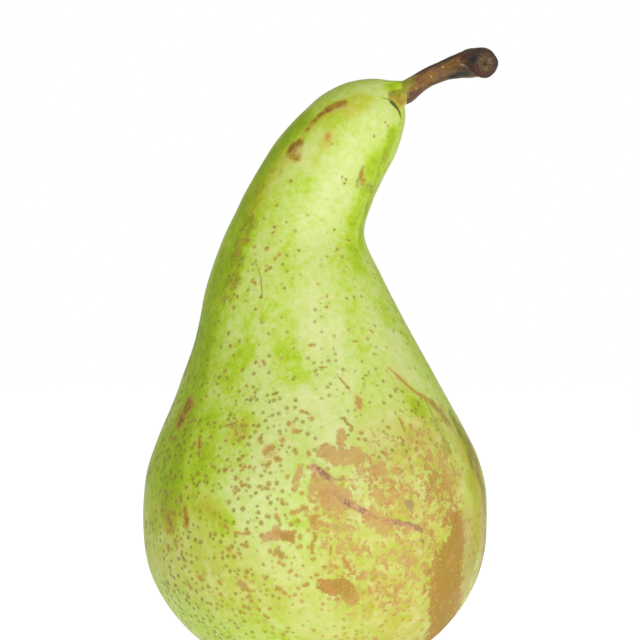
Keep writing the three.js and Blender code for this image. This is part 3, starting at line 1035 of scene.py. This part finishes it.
    def _scars(self, g: Graph, grain: SkinGrain, colour: Sock) -> tuple[Sock, Sock]:
        """The healed cuts, dark and light by turns, and the painted shade in the crease beside the stalk.

        Args:
            g: the material's tree.
            grain: the tree's noises.
            colour: what they lie on.

        Returns:
            Their mask and the new colour.
        """
        scars = 0.88 * g.step(g.ragged("scar", 0.3 * grain.mottle + 0.3 * grain.fine), 0.15, 0.8)
        lit = g.step(0.7 * grain.fine + 0.9 * grain.mottle, -0.5, 0.6)
        colour = g.mix(scars, colour, g.mix(lit, self.scar_dark, self.scar_light))
        # Painted shade in the fold beside the stalk.
        return scars, g.mix(g.step(g.field("crease"), 0.2, 0.9), colour, self.crease)


@dataclass(frozen=True)
class Bark:
    """The stalk's dry bark: fibres along it, soot, and the green of the flesh at its root."""

    dark: Colour = linear(62, 45, 31)
    brown: Colour = linear(96, 71, 44)
    tan: Colour = linear(124, 97, 64)
    amber: Colour = linear(122, 84, 32)
    green: Colour = linear(142, 142, 48)
    pale: Colour = linear(176, 146, 104)
    wine: Colour = linear(66, 33, 28)
    shade: Colour = linear(50, 36, 28)
    soot: Colour = linear(34, 33, 36)
    wood: Colour = linear(150, 119, 78)

    def build(self) -> bpy.types.Material:
        """Builds the finish.

        Returns:
            The finished material.
        """
        g = Graph.of_material("stalk_bark")
        fibre = g.noise(g.field("grain", "Vector"), 0.45, 4.0, 0.6, 0.3)
        patch = g.noise(g.place(), 1.3, 4.0, 0.65)
        stops = [(0.1, self.dark), (0.45, self.brown), (0.9, self.tan)]
        colour = g.ramp(0.5 + 0.3 * fibre + 0.3 * patch, stops)
        colour = g.mix(0.85 * g.step(g.ragged("gold", 0.45 * fibre), 0.1, 1.0), colour, self.amber)
        # Painted shade along the knob's rim, over the darker knob.
        colour = g.mix(0.85 * g.step(g.ragged("smudge", 0.4 * patch), 0.1, 0.9), colour, self.shade)
        colour = g.mix(0.8 * g.step(g.ragged("blush", 0.4 * patch), 0.1, 0.9), colour, self.wine)
        colour = g.mix(0.9 * g.step(g.ragged("soot", 0.4 * fibre), 0.1, 0.9), colour, self.soot)
        colour = g.mix(0.9 * g.step(g.ragged("green", 0.5 * patch), 0.1, 0.9), colour, self.green)
        pits = g.noise(g.stretched(g.field("grain", "Vector"), (1.6, 1.6, 2.4)), 0.45, 4.0, 0.65, 0.5)
        colour = g.mix(0.6 * g.step(pits, 0.0, 0.9), colour, self.shade)
        colour = g.mix(0.35 * g.step(pits, -0.3, -1.0), colour, self.pale)
        rays = g.step(g.noise(g.field("rays", "Vector"), 0.5, 4.0, 0.7, 0.8), -0.3, 0.6)
        face = g.field("face") * g.step(patch, -0.9, 0.3)
        colour = g.mix(face * (0.06 + 0.9 * rays), colour, self.wood)
        # Chips and scratches, and small painted highlights.
        colour = g.mix(g.step(g.ragged("pale", 0.3 * fibre), 0.1, 0.8), colour, self.pale)
        height = 0.25 * fibre + 0.15 * patch - 0.3 * pits + 0.6 * face * rays
        return g.finish(colour, 0.58 + 0.06 * fibre, g.bump(height, 0.14), {"Specular IOR Level": 0.25})


@dataclass(frozen=True)
class DriedFlower:
    """The calyx: dry, brown and ribbed."""

    dark: Colour = linear(44, 32, 22)
    brown: Colour = linear(96, 72, 46)
    ash: Colour = linear(132, 112, 84)

    def build(self) -> bpy.types.Material:
        """Builds the finish.

        Returns:
            The finished material.
        """
        g = Graph.of_material("dried_flower")
        ribs = g.noise(g.field("grain", "Vector"), 0.4, 3.0, 0.6)
        patch = g.noise(g.place(), 1.2, 3.0, 0.6)
        stops = [(0.15, self.dark), (0.5, self.brown), (0.85, self.ash)]
        colour = g.ramp(0.45 + 0.2 * ribs + 0.2 * patch, stops)
        return g.finish(colour, 0.8 + 0.06 * patch, g.bump(0.25 * ribs, 0.25), {"Specular IOR Level": 0.3})


@dataclass
class Fruit:
    """The flesh and its skin, one closed surface from the blossom basin to the lip round the stalk.

    The basin holds pairs of a radius and a height, and the neck facing outline points: left x, z, right x, z.
    Each pair of heights, sides, depths or radii says where something starts to come in and where all of it is
    there.
    """

    axis: float = -0.9
    belly_radius: float = 32.4
    belly_height: float = 27.1
    belly_steps: int = 7
    foot_outer: float = 9.8
    foot_lift: float = 0.12
    depth_share: float = 0.97
    curve_steps: int = 24
    columns: int = 262
    rows: int = 344
    front_share: float = 0.35
    crown_rows: float = 2.0
    crown_heights: Pair = (96.0, 104.0)
    swell: float = 0.11
    swell_wave: float = 34.0
    ripple: float = 0.035
    ripple_wave: float = 7.5
    relief_heights: Pair = (1.0, 7.0)
    scar_height: float = 0.16
    crease_depth: float = 0.55
    pore_heights: Pair = (97.0, 75.0)
    belly_heights: Pair = (66.0, 36.0)
    left_sides: Pair = (6.0, -14.0)
    ripe_heights: Pair = (50.0, 20.0)
    ripe_sides: Pair = (-26.0, 0.0)
    back_depths: Pair = (-4.0, 8.0)
    back_heights: Pair = (52.0, 18.0)
    basin_radii: Pair = (13.0, 8.0)
    basin_heights: Pair = (20.0, 12.0)
    basin: tuple[Pair, ...] = (
        (0.6, 3.62),
        (3.4, 3.5),
        (4.9, 2.9),
        (6.1, 1.5),
        (7.0, 0.42),
        (8.0, 0.04),
        (8.8, 0.0),
    )
    neck: tuple[tuple[float, float, float, float], ...] = (
        (-33.0, 35.4, 31.3, 35.4),
        (-31.5, 41.4, 29.5, 41.4),
        (-27.6, 51.2, 24.1, 51.6),
        (-23.6, 62.6, 17.6, 63.3),
        (-21.3, 73.1, 11.8, 74.6),
        (-18.2, 82.1, 8.6, 82.1),
        (-13.3, 91.9, 10.0, 88.4),
        (-7.7, 100.7, 12.2, 93.3),
        (-2.7, 106.1, 14.7, 98.4),
        (1.5, 109.4, 15.9, 102.3),
        (5.8, 111.3, 16.2, 104.2),
        (10.2, 111.8, 16.2, 105.4),
        (13.2, 111.5, 16.2, 106.1),
        (15.8, 111.4, 16.1, 106.5),
        (17.1, 111.2, 16.8, 107.4),
        (17.0, 110.4, 16.8, 108.4),
    )

    def sections(self) -> np.ndarray:
        """Facing pairs of outline points from the basin's floor to the stalk: left x, z, right x, z."""
        lowest = math.acos(self.foot_outer / self.belly_radius)
        level = list(self.basin)
        for i in range(self.belly_steps + 1):
            angle = lowest * (1 - i / self.belly_steps)
            height = self.belly_height * (1 - math.sin(angle) / math.sin(lowest))
            level.append((self.belly_radius * math.cos(angle), max(height, self.foot_lift)))
        pairs = [(self.axis - r, z, self.axis + r, z) for r, z in level]
        return np.array([*pairs, *self.neck])

    def surface(self) -> Skin:
        """The smooth surface, its rows closer together near the crown and its columns closer at the front."""
        curve = smooth_curve(self.sections(), self.curve_steps)
        left, right = curve[:, :2], curve[:, 2:]
        length = sum(np.linalg.norm(np.diff(edge, axis=0), axis=1) for edge in (left, right)) / 2
        height = (left[1:, 1] + right[1:, 1]) / 2
        denser = 1 + self.crown_rows * fade(height, self.crown_heights)
        reach = np.concatenate([[0.0], np.cumsum(length * denser)])
        arc = np.concatenate([[0.0], np.cumsum(length)])
        at = np.linspace(0, reach[-1], self.rows)
        rows = np.stack([np.interp(at, reach, curve[:, k]) for k in range(4)], axis=1)
        rows[:, 1::2] = np.maximum(rows[:, 1::2], 0.0)
        across = np.arange(self.columns) / self.columns
        turn = 2 * math.pi * across + self.front_share * np.sin(2 * math.pi * across)
        left, right = rows[:, None, :2], rows[:, None, 2:]
        half = (right - left) / 2
        middle = (left + right) / 2 + half * np.sin(turn)[None, :, None]
        depth = np.linalg.norm(half, axis=2) * self.depth_share * np.cos(turn)[None, :]
        rings = np.stack([middle[..., 0], depth, middle[..., 1]], axis=2)
        poles = rings[0].mean(0), rings[-1].mean(0)
        along = np.interp(at, reach, arc) / arc[-1]
        return Skin(rings, poles, across, 0.004 + 0.992 * along)

    def pores(self, skin: Skin) -> None:
        """Fills the fields of the pores: how many there are, none at the crown, and how brown they are."""
        x, _, z = np.moveaxis(skin.rings, 2, 0)
        belly = fade(z, self.belly_heights)
        many = fade(z, self.pore_heights) * (0.4 + 0.32 * belly + 0.32 * fade(x, self.left_sides) * belly)
        many = many * (1 + 0.3 * waves(skin.rings, seed=5, wavelength=14))
        skin.fields["pores"] = np.clip(many, 0, 1)
        ripe = 0.16 + 0.77 * fade(z, self.ripe_heights) * fade(x, self.ripe_sides)
        skin.fields["ripe"] = np.clip(ripe + 0.2 * waves(skin.rings, seed=9, wavelength=16), 0, 1)

    def other_side(self, skin: Skin) -> None:
        """Gives the sides that the photograph doesn't show the same kinds of mark, at random places."""
        x, y, z = np.moveaxis(skin.rings, 2, 0)
        behind = fade(y, self.back_depths)
        low = fade(z, self.back_heights)
        patches = 0.2 + 0.36 * low + 0.32 * waves(skin.rings, seed=21, wavelength=17) * low
        skin.strengthen("russet", behind * np.clip(patches, 0, 0.95))
        round_basin = fade(np.hypot(x - self.axis, y), self.basin_radii) * fade(z, self.basin_heights)
        skin.strengthen("russet", 0.62 * round_basin)
        for label, seed in (("pale", 31), ("green", 37)):
            tone = 0.35 + 0.5 * waves(skin.rings * (1, 1, 0.45), seed, wavelength=16)
            skin.strengthen(label, behind * np.clip(tone, 0, 1))
        gold = 0.15 + 0.5 * low + 0.3 * waves(skin.rings, seed=41, wavelength=20)
        skin.strengthen("gold", behind * np.clip(gold, 0, 0.8))

    def dress(self) -> bpy.types.Object:
        """Builds the fruit.

        Returns:
            The piece, which replaces the CAD fruit.
        """
        skin = self.surface()
        relief = self.swell * (waves(skin.rings, seed=3, wavelength=self.swell_wave) - 1.0)
        relief = relief + self.ripple * waves(skin.rings, seed=7, wavelength=self.ripple_wave)
        skin.push(relief * fade(skin.rings[..., 2], self.relief_heights))
        skin.draw(SKIN_MARKS)
        skin.sprinkle(SKIN_SPOTS)
        self.pores(skin)
        self.other_side(skin)
        skin.push(self.scar_height * skin.fields["scar"] - self.crease_depth * skin.fields["crease"])
        piece = skin.build("pear_flesh")
        piece.data.materials.append(PearSkin().build())
        settle(piece, "fruit")
        return piece


@dataclass
class Stalk:
    """The woody stem, rooted in the crown, thickening to the knob where it broke from the spur.

    The line is its middle, as measured in the axis's plane. The radii hold pairs of a share of its length and
    the radius there, and the face's rings pairs of a radius and how far they stand past the line's end. Each
    pair of sides or radii says where something starts to come in and where all of it is there.
    """

    line: tuple[Point, ...] = (
        (13.0, 0.0, 107.0),
        (16.4, 0.0, 109.4),
        (20.3, -0.2, 112.0),
        (23.5, -0.7, 113.35),
        (26.4, -1.8, 114.2),
        (28.7, -3.4, 114.75),
        (30.4, -5.3, 114.85),
        (31.2, -7.2, 114.55),
    )
    radii: tuple[Pair, ...] = (
        (0.0, 1.5),
        (0.1, 1.9),
        (0.17, 2.15),
        (0.24, 1.98),
        (0.34, 1.82),
        (0.5, 1.92),
        (0.64, 2.3),
        (0.78, 2.75),
        (0.88, 2.88),
        (0.96, 2.82),
        (1.0, 2.45),
    )
    face_rings: tuple[Pair, ...] = (
        (2.0, 0.1),
        (1.7, 0.02),
        (1.4, -0.15),
        (1.0, -0.3),
        (0.6, -0.34),
        (0.25, -0.3),
    )
    line_steps: int = 40
    radius_steps: int = 20
    columns: int = 96
    rows: int = 230
    look_ahead: float = 0.2
    grain_round: float = 1.9
    grain_run: float = 0.16
    rays_round: float = 2.4
    rays_run: float = 0.35
    face_rim: Pair = (1.6, 1.1)
    face_middle: Pair = (0.1, 0.7)
    bark_sides: Pair = (17.5, 22.5)
    knob_sides: Pair = (24.0, 29.0)

    @staticmethod
    def _wound(circle: np.ndarray, run: np.ndarray) -> np.ndarray:
        """A field of places on a roll, whose noise has no seam.

        Args:
            circle: each column's x and y.
            run: each row's z.

        Returns:
            One place for each point of the rings.
        """
        shape = (len(run), len(circle))
        sides = np.broadcast_to(circle, (*shape, 2))
        heights = np.broadcast_to(run[:, None, None], (*shape, 1))
        return np.concatenate([sides, heights], axis=2)

    def surface(self) -> Skin:
        """The stalk's side and its dished end, with the fields of its grain."""
        curve = smooth_curve(np.array(self.line), self.line_steps)
        length = np.concatenate([[0.0], np.cumsum(np.linalg.norm(np.diff(curve, axis=0), axis=1))])
        side = smooth_curve(np.array(self.radii), self.radius_steps)
        face = np.array(self.face_rings)
        side_share = np.linspace(0, 1, self.rows)
        share = np.concatenate([side_share, 1 + face[:, 1] / length[-1]])
        radius = np.concatenate([np.interp(side_share, side[:, 0], side[:, 1]), face[:, 0]])
        at = np.minimum(share, 1.0) * length[-1]
        centre, ahead, behind = (
            np.stack([np.interp(at + step, length, curve[:, k]) for k in range(3)], axis=1)
            for step in (0.0, self.look_ahead, -self.look_ahead)
        )
        along = ahead - behind
        along /= np.linalg.norm(along, axis=1, keepdims=True)
        past_end = np.maximum(share - 1.0, 0) * length[-1]
        centre = PHOTO.narrow(centre + along * past_end[:, None])
        sideways = np.cross((0.0, 0.0, 1.0), along)
        sideways /= np.linalg.norm(sideways, axis=1, keepdims=True)
        over = np.cross(along, sideways)
        across = np.arange(self.columns) / self.columns
        turn = 2 * math.pi * across
        circle = np.stack([np.cos(turn), np.sin(turn)], axis=1)
        spokes = circle[None, :, :1] * over[:, None] + circle[None, :, 1:] * sideways[:, None]
        rings = centre[:, None] + radius[:, None, None] * spokes
        poles = rings[0].mean(0), rings[-1].mean(0)
        skin = Skin(rings, poles, across, np.linspace(0.01, 0.99, len(share)))
        skin.fields["grain"] = self._wound(circle * self.grain_round, at * self.grain_run)
        skin.fields["rays"] = self._wound(circle * self.rays_round, radius * self.rays_run)
        on_face = np.arange(len(share)) >= self.rows
        full = on_face * fade(radius, self.face_rim) * fade(radius, self.face_middle)
        skin.fields["face"] = np.broadcast_to(full[:, None], rings.shape[:2])
        return skin

    def dress(self) -> bpy.types.Object:
        """Builds the stalk.

        Returns:
            The piece, which replaces the CAD stalk.
        """
        skin = self.surface()
        skin.draw(STALK_MARKS)
        knob = fade(skin.rings[..., 0], self.knob_sides)
        face = skin.fields["face"]
        grain = skin.fields["grain"] * (1, 1, 1.6)
        fibres = 0.03 * waves(grain, seed=11, wavelength=0.9) + 0.02 * waves(grain, seed=13, wavelength=0.45)
        relief = fade(skin.rings[..., 0], self.bark_sides) * (fibres - 0.05)
        relief = relief + knob * 0.07 * (waves(skin.rings, seed=17, wavelength=2.4) - 0.6)
        relief = relief + 0.12 * skin.fields["ridge"] - 0.3 * skin.fields["soot"] * knob
        torn = 0.05 * face * waves(skin.fields["rays"], seed=19, wavelength=0.8)
        skin.push(relief * (1 - 0.6 * face) + torn)
        piece = skin.build("pear_stalk")
        piece.data.materials.append(Bark().build())
        settle(piece, "stalk")
        return piece


@dataclass
class Calyx:
    """The dried flower in the basin: a cup with five curled sepals and a tuft of stamens."""

    axis: float = -0.9
    sepals: int = 5
    sepal_length: float = 4.4
    sepal_width: float = 3.1
    sepal_tip: float = 0.22
    sepal_arch: float = 1.25
    sepal_rings: int = 26
    sepal_columns: int = 24
    thickness: float = 0.32
    start: float = 1.6
    top: float = 2.9
    droop: float = 1.3
    cup_outer: float = 2.7
    cup_inner: float = 1.5
    cup_low: float = 2.0
    cup_top: float = 3.5
    cup_hole: float = 0.05
    cup_columns: int = 64
    stamens: int = 14
    stamen_length: float = 2.1
    stamen_radius: float = 0.13
    stamen_rings: int = 12
    stamen_columns: int = 8
    seed: int = 23
    grain_round: float = 4.0
    grain_run: float = 0.25

    @staticmethod
    def _add_tube(points: list, faces: list, rings: np.ndarray) -> None:
        """Adds a tube that is closed at both ends.

        Args:
            points: the points so far, which it adds to.
            faces: the faces so far, which it adds to.
            rings: the tube's rings of points.
        """
        base = len(points)
        rows, columns = rings.shape[:2]
        points += rings.reshape(-1, 3).tolist()
        for i in range(rows - 1):
            for j in range(columns):
                k = (j + 1) % columns
                a, b = base + i * columns, base + (i + 1) * columns
                faces.append((a + j, b + j, b + k, a + k))
        faces.append(tuple(base + j for j in range(columns)))
        faces.append(tuple(base + (rows - 1) * columns + j for j in reversed(range(columns))))

    def sepal(self, turn: float, draw: np.random.Generator) -> np.ndarray:
        """One sepal as rings round its thin blade.

        Args:
            turn: where it stands round the cup.
            draw: the random numbers of the calyx.

        Returns:
            Its rings of points, from the cup to the tip.
        """
        share = np.linspace(0, 1, self.sepal_rings)
        width = self.sepal_width * (1 - share**1.7) * (0.85 + 0.4 * np.sin(math.pi * share)) + self.sepal_tip
        curl = draw.uniform(0.75, 1.1)
        lean = draw.uniform(-0.25, 0.25)
        radius = self.start + self.sepal_length * np.sin(share * self.sepal_arch) / math.sin(self.sepal_arch)
        height = self.top - self.droop * curl * share**1.8
        round_blade = np.linspace(0, 2 * math.pi, self.sepal_columns, endpoint=False)
        rings = []
        for s, w, r, z in zip(share, width, radius, height):
            across = np.cos(round_blade) * w / 2
            thick = np.sin(round_blade) * self.thickness / 2 * (1 - 0.5 * s)
            cup = 0.16 * (across / max(w / 2, 0.1)) ** 2 * (1 - s) + 0.1 * np.sin(across * 5 + 6 * s) * s
            sway = lean * s * s * 2
            rings.append(np.stack([np.full_like(across, r), across + sway, z + thick - cup], axis=1))
        rings = np.array(rings)
        cos, sin = math.cos(turn), math.sin(turn)
        x, y = rings[..., 0].copy(), rings[..., 1].copy()
        rings[..., 0], rings[..., 1] = self.axis + x * cos - y * sin, x * sin + y * cos
        return rings

    def stamen(self, turn: float, draw: np.random.Generator) -> np.ndarray:
        """One withered stamen, a bent thread with a swollen end.

        Args:
            turn: where it stands round the cup.
            draw: the random numbers of the calyx.

        Returns:
            Its rings of points, from the cup to the end.
        """
        out = draw.uniform(0.35, 1.0)
        bend = draw.uniform(-0.5, 0.5)
        length = self.stamen_length * draw.uniform(0.6, 1.0)
        around = np.linspace(0, 2 * math.pi, self.stamen_columns, endpoint=False)
        ring = np.stack([np.cos(around), -np.sin(around), 0 * around], axis=1)
        rings = []
        for s in np.linspace(0, 1, self.stamen_rings):
            thick = self.stamen_radius * (1 + 0.9 * smooth((s - 0.75) * 5))
            r = out * (0.6 + 0.5 * s)
            a = turn + bend * s * s
            centre = np.array([self.axis + r * math.cos(a), r * math.sin(a), self.cup_top - 0.4 - length * s])
            rings.append(centre + ring * thick)
        return np.array(rings)

    def cup(self) -> np.ndarray:
        """The cup's ring, a closed band turned round the axis, as rings round its section."""
        section = (
            (self.cup_hole, self.cup_top - 0.5),
            (self.cup_inner * 0.7, self.cup_top - 0.55),
            (self.cup_inner, self.cup_low + 0.3),
            (self.cup_inner + 0.25, self.cup_low),
            (self.cup_outer - 0.3, self.cup_low + 0.15),
            (self.cup_outer, self.cup_low + 0.6),
            (self.cup_outer, self.cup_top),
            (self.cup_hole, self.cup_top + 0.05),
        )
        turn = np.linspace(0, 2 * math.pi, self.cup_columns, endpoint=False)
        wave = 1 + 0.05 * np.cos(5 * turn) + 0.03 * np.cos(13 * turn)
        x, y = wave * np.cos(turn), wave * np.sin(turn)
        return np.array([np.stack([self.axis + r * x, r * y, z + 0 * turn], axis=1) for r, z in section])

    def dress(self) -> bpy.types.Object:
        """Builds the calyx.

        Returns:
            The piece, which replaces the CAD calyx.
        """
        draw = np.random.default_rng(self.seed)
        points, faces = [], []
        self._add_tube(points, faces, self.cup())
        for i in range(self.sepals):
            self._add_tube(points, faces, self.sepal(2 * math.pi * i / self.sepals, draw))
        for i in range(self.stamens):
            self._add_tube(points, faces, self.stamen(2 * math.pi * i / self.stamens, draw))
        place = np.array(points)
        mesh = bpy.data.meshes.new("pear_calyx")
        mesh.from_pydata((place * MM).tolist(), [], faces)
        x, y = place[:, 0] - self.axis, place[:, 1]
        turn = np.arctan2(y, x)
        sides = np.stack([np.cos(turn), np.sin(turn)], axis=1) * self.grain_round
        grain = np.column_stack([sides, np.hypot(y, x) * self.grain_run]).astype(np.float32)
        mesh.attributes.new("grain", "FLOAT_VECTOR", "POINT").data.foreach_set("vector", grain.ravel())
        mesh.polygons.foreach_set("use_smooth", [True] * len(faces))
        mesh.update()
        turn_outwards(mesh)
        piece = place_in_scene("pear_calyx", mesh)
        piece.data.materials.append(DriedFlower().build())
        settle(piece, "calyx")
        return piece


@dataclass(frozen=True)
class SoftBox:
    """A square soft light: its name, size in metres, power, and where it stands and looks, in metres."""

    name: str
    size: float
    power: float
    place: Point
    target: Point = (0.0, 0.0, 0.06)

    def build(self) -> None:
        """Adds the light."""
        light = bpy.data.lights.new(self.name, "AREA")
        light.size = self.size
        light.energy = self.power
        lamp = place_in_scene(self.name, light)
        lamp.location = self.place
        lamp.rotation_euler = (Vector(self.target) - lamp.location).to_track_quat("-Z", "Y").to_euler()


@dataclass
class Studio:
    """The pale floor, the soft light, and the camera, which looks level from the front."""

    floor_radius: float = 3.0
    floor_glow: float = 0.58
    backdrop: float = 1.0
    ambient: float = 0.45
    boxes: tuple[SoftBox, ...] = (
        SoftBox("key", 0.55, 7.2, (0.40, -0.95, 0.26)),
        SoftBox("fill", 0.9, 2.4, (-0.5, -1.0, 0.30)),
    )

    def floor(self) -> None:
        """A wide round floor, plain and pale."""
        turn = np.linspace(0, 2 * math.pi, 96, endpoint=False)
        rim = np.stack([np.cos(turn), np.sin(turn), 0 * turn], axis=1) * self.floor_radius
        mesh = bpy.data.meshes.new("floor")
        mesh.from_pydata(rim.tolist(), [], [tuple(range(len(turn)))])
        floor = place_in_scene("floor", mesh)
        g = Graph.of_material("floor_white")
        speck = g.noise(g.place(), 2.0, 3.0, 0.6)
        colour = g.mix(0.5 + 0.25 * speck, linear(244, 244, 243), linear(250, 250, 250))
        glow = {
            "Emission Color": (1.0, 1.0, 1.0),
            "Emission Strength": self.floor_glow,
            "Specular IOR Level": 0.2,
        }
        floor.data.materials.append(g.finish(colour, 0.8, g.bump(speck, 0.02), glow))

    def world(self) -> None:
        """An even surround: white behind the pear, and dimmer in the light that it gives."""
        g = Graph(bpy.data.worlds.new("surround"))
        seen = g.node("ShaderNodeLightPath", {}, {}, "Is Camera Ray")
        strength = self.ambient + (self.backdrop - self.ambient) * seen
        inputs = {"Color": (1.0, 1.0, 1.0), "Strength": strength}
        g.surface(g.node("ShaderNodeBackground", {}, inputs), "ShaderNodeOutputWorld")
        bpy.context.scene.world = g.owner

    def camera(self) -> None:
        """A long lens, level, with the photograph's frame at the pear's axis."""
        data = bpy.data.cameras.new("camera")
        data.lens = PHOTO.lens
        data.sensor_width = PHOTO.sensor
        data.clip_start = 0.01
        camera = place_in_scene("camera", data)
        camera.location = (0.0, -PHOTO.distance * MM, PHOTO.aim * MM)
        camera.rotation_euler = (math.radians(90), 0, 0)
        bpy.context.scene.camera = camera

    def build(self) -> None:
        """Sets up everything that isn't the pear."""
        self.floor()
        self.world()
        for box in self.boxes:
            box.build()
        self.camera()
        bpy.context.scene.view_settings.view_transform = "Standard"


def turn_outwards(mesh: bpy.types.Mesh) -> None:
    """Turns the faces of a mesh's closed parts outwards.

    Args:
        mesh: the mesh.
    """
    work = bmesh.new()
    work.from_mesh(mesh)
    bmesh.ops.recalc_face_normals(work, faces=work.faces)
    work.to_mesh(mesh)
    work.free()


def settle(piece: bpy.types.Object, node: str) -> None:
    """Ties a finished piece to the frame.

    Args:
        piece: the piece.
        node: the CAD node that it stands for.
    """
    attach(piece, BODY)
    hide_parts(node)
    LOG.info("%s stands for %s: %d faces", piece.name, node, len(piece.data.polygons))


def main() -> None:
    """Builds the pear and its studio."""
    logging.basicConfig(level=logging.INFO, format="%(name)s: %(message)s")
    for part in (Fruit(), Stalk(), Calyx()):
        part.dress()
    Studio().build()


if __name__ == "__main__":
    main()
